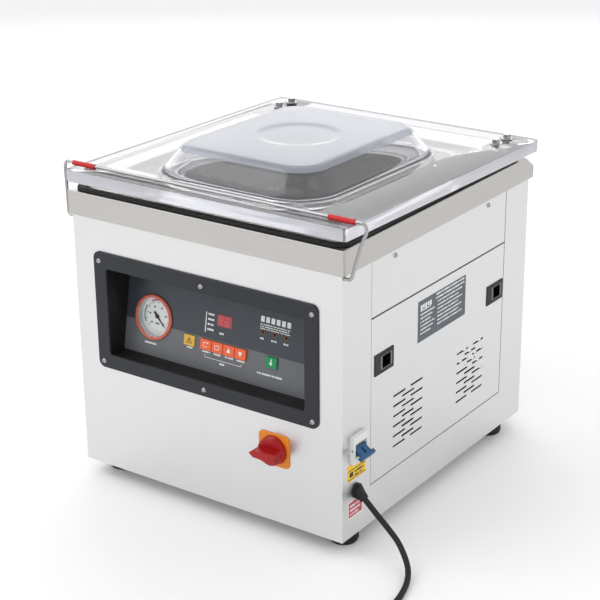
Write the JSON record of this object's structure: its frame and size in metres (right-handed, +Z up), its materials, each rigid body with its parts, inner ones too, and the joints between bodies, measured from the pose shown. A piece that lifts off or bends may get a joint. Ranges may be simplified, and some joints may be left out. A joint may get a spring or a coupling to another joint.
{
  "type": "chamber vacuum packing machine",
  "caption": "Tabletop chamber vacuum sealer: steel body, clear domed lid under a wire bail, dark control panel with gauge and keys, red switch, side breaker and power cord.",
  "frame": {"origin": "on the worktop under the middle of the machine", "axes": "+X to the machine's right as seen from its front, +Y from the front to the back, +Z up"},
  "size_m": [0.6429, 0.8216, 0.5368],
  "materials": {
    "sheet_steel": "fine brushed sheet",
    "rim_steel": "brushed, warm grey",
    "bright_steel": "polished",
    "dark_steel": "satin black",
    "cast_aluminium": "satin",
    "acrylic": "clear, polished",
    "instrument_glass": "clear",
    "black_rubber": "matt",
    "black_plastic": "fine grain",
    "bezel_grey": "satin",
    "panel_grey": "printed foil",
    "gauge_red": "gloss",
    "dial_white": "matt",
    "needle_black": "matt",
    "display_red": "gloss",
    "key_yellow": "satin",
    "key_orange": "satin",
    "key_green": "satin",
    "lamp_red": "gloss",
    "board_green": "satin",
    "switch_orange": "gloss",
    "knob_red": "gloss",
    "breaker_white": "satin",
    "breaker_blue": "satin",
    "sleeve_red": "gloss",
    "filler_grey": "matt",
    "seal_film": "woven",
    "label_print": "printed film",
    "plate_print": "printed",
    "pump_enamel": "gloss enamel",
    "winding": "varnished"
  },
  "bodies": {
    "base": {"body_shell": "sheet_steel", "rear_panel": "sheet_steel", "upper_covers": "sheet_steel", "case_screws": "bright_steel", "feet": "black_rubber", "top_rim": "rim_steel", "lid_gasket": "black_rubber", "chamber_tub": "rim_steel", "seal_pistons": "cast_aluminium", "hinge_brackets": "rim_steel", "hinge_pins": "bright_steel", "lid_springs": "dark_steel", "bezel": "bezel_grey", "bezel_screws": "dark_steel", "panel_recess": "black_plastic", "panel_plate": "panel_grey", "gauge_case": "black_plastic", "gauge_ring": "gauge_red", "gauge_dial": "dial_white", "gauge_glass": "instrument_glass", "display": "display_red", "status_lamps": "lamp_red", "control_board": "board_green", "switch_plate": "switch_orange", "switch_block": "black_plastic", "breaker_body": "breaker_white", "side_labels": "label_print", "cable_gland": "black_plastic", "power_cord": "black_rubber", "cord_coil": "black_rubber", "plug": "black_rubber", "vacuum_pump": "pump_enamel", "pump_motor": "pump_enamel", "vacuum_hose": "black_rubber", "transformer": "winding"},
    "lid": {"lid": "acrylic", "counter_bar": "cast_aluminium", "hinge_plate_left": "dark_steel", "hinge_plate_right": "dark_steel", "lid_bolts": "bright_steel"},
    "bail": {"bail_wire": "bright_steel", "bail_sleeves": "sleeve_red"},
    "seal_bar": {"seal_bar": "cast_aluminium", "seal_tape": "seal_film"},
    "filler_plate": {"filler_plate": "filler_grey"},
    "cover_right": {"side_cover_right": "sheet_steel", "cover_pulls_right": "black_plastic", "rating_plate": "plate_print"},
    "cover_left": {"side_cover_left": "sheet_steel", "cover_pulls_left": "black_plastic"},
    "needle": {"gauge_needle": "needle_black"},
    "menu_key": {"key_menu": "key_yellow"},
    "previous_key": {"key_previous": "key_orange"},
    "next_key": {"key_next": "key_orange"},
    "up_key": {"key_up": "key_orange"},
    "down_key": {"key_down": "key_orange"},
    "start_key": {"key_start": "key_green"},
    "knob": {"switch_knob": "knob_red"},
    "breaker_toggle": {"breaker_lever": "breaker_blue"},
    "fan": {"motor_fan": "cast_aluminium"}
  },
  "joints": [
    {"name": "lid_hinge", "type": "hinge", "parent": "base", "child": "lid", "pos_m": [0, 0.258, 0.45], "axis": [-1, 0, 0], "range_deg": [-0.8, 49], "stiffness_Nm_per_rad": 7.3, "springref_deg": 120.32},
    {"name": "bail_hinge", "type": "hinge", "parent": "base", "child": "bail", "pos_m": [0, -0.252, 0.4245], "axis": [1, 0, 0], "range_deg": [0, 165]},
    {"name": "seal_bar_lift", "type": "slide", "parent": "base", "child": "seal_bar", "axis": [0, 0, 1], "range_m": [0, 0.009]},
    {"name": "filler_lift", "type": "slide", "parent": "base", "child": "filler_plate", "axis": [0, 0, 1], "range_m": [0, 0.06]},
    {"name": "right_cover_pull", "type": "slide", "parent": "base", "child": "cover_right", "axis": [1, 0, 0], "range_m": [0, 0.12]},
    {"name": "left_cover_pull", "type": "slide", "parent": "base", "child": "cover_left", "axis": [-1, 0, 0], "range_m": [0, 0.12]},
    {"name": "needle_pivot", "type": "hinge", "parent": "base", "child": "needle", "pos_m": [-0.1255, -0.21549, 0.27474], "axis": [0, -0.9848, 0.1736], "range_deg": [0, 270]},
    {"name": "menu_press", "type": "slide", "parent": "base", "child": "menu_key", "axis": [0, 0.9848, -0.1736], "range_m": [0, 0.0012], "stiffness_N_per_m": 600},
    {"name": "previous_press", "type": "slide", "parent": "base", "child": "previous_key", "axis": [0, 0.9848, -0.1736], "range_m": [0, 0.0012], "stiffness_N_per_m": 600},
    {"name": "next_press", "type": "slide", "parent": "base", "child": "next_key", "axis": [0, 0.9848, -0.1736], "range_m": [0, 0.0012], "stiffness_N_per_m": 600},
    {"name": "up_press", "type": "slide", "parent": "base", "child": "up_key", "axis": [0, 0.9848, -0.1736], "range_m": [0, 0.0012], "stiffness_N_per_m": 600},
    {"name": "down_press", "type": "slide", "parent": "base", "child": "down_key", "axis": [0, 0.9848, -0.1736], "range_m": [0, 0.0012], "stiffness_N_per_m": 600},
    {"name": "start_press", "type": "slide", "parent": "base", "child": "start_key", "axis": [0, 0.9848, -0.1736], "range_m": [0, 0.0012], "stiffness_N_per_m": 600},
    {"name": "knob_turn", "type": "hinge", "parent": "base", "child": "knob", "pos_m": [0.124, -0.256, 0.1415], "axis": [0, -1, 0], "range_deg": [-90, 0]},
    {"name": "breaker_throw", "type": "hinge", "parent": "base", "child": "breaker_toggle", "pos_m": [0.2445, -0.22, 0.164], "axis": [0, 1, 0], "range_deg": [-70, 0]},
    {"name": "fan_spin", "type": "hinge", "parent": "base", "child": "fan", "pos_m": [0.16, 0.074, 0.15], "axis": [1, 0, 0], "continuous": true}
  ]
}
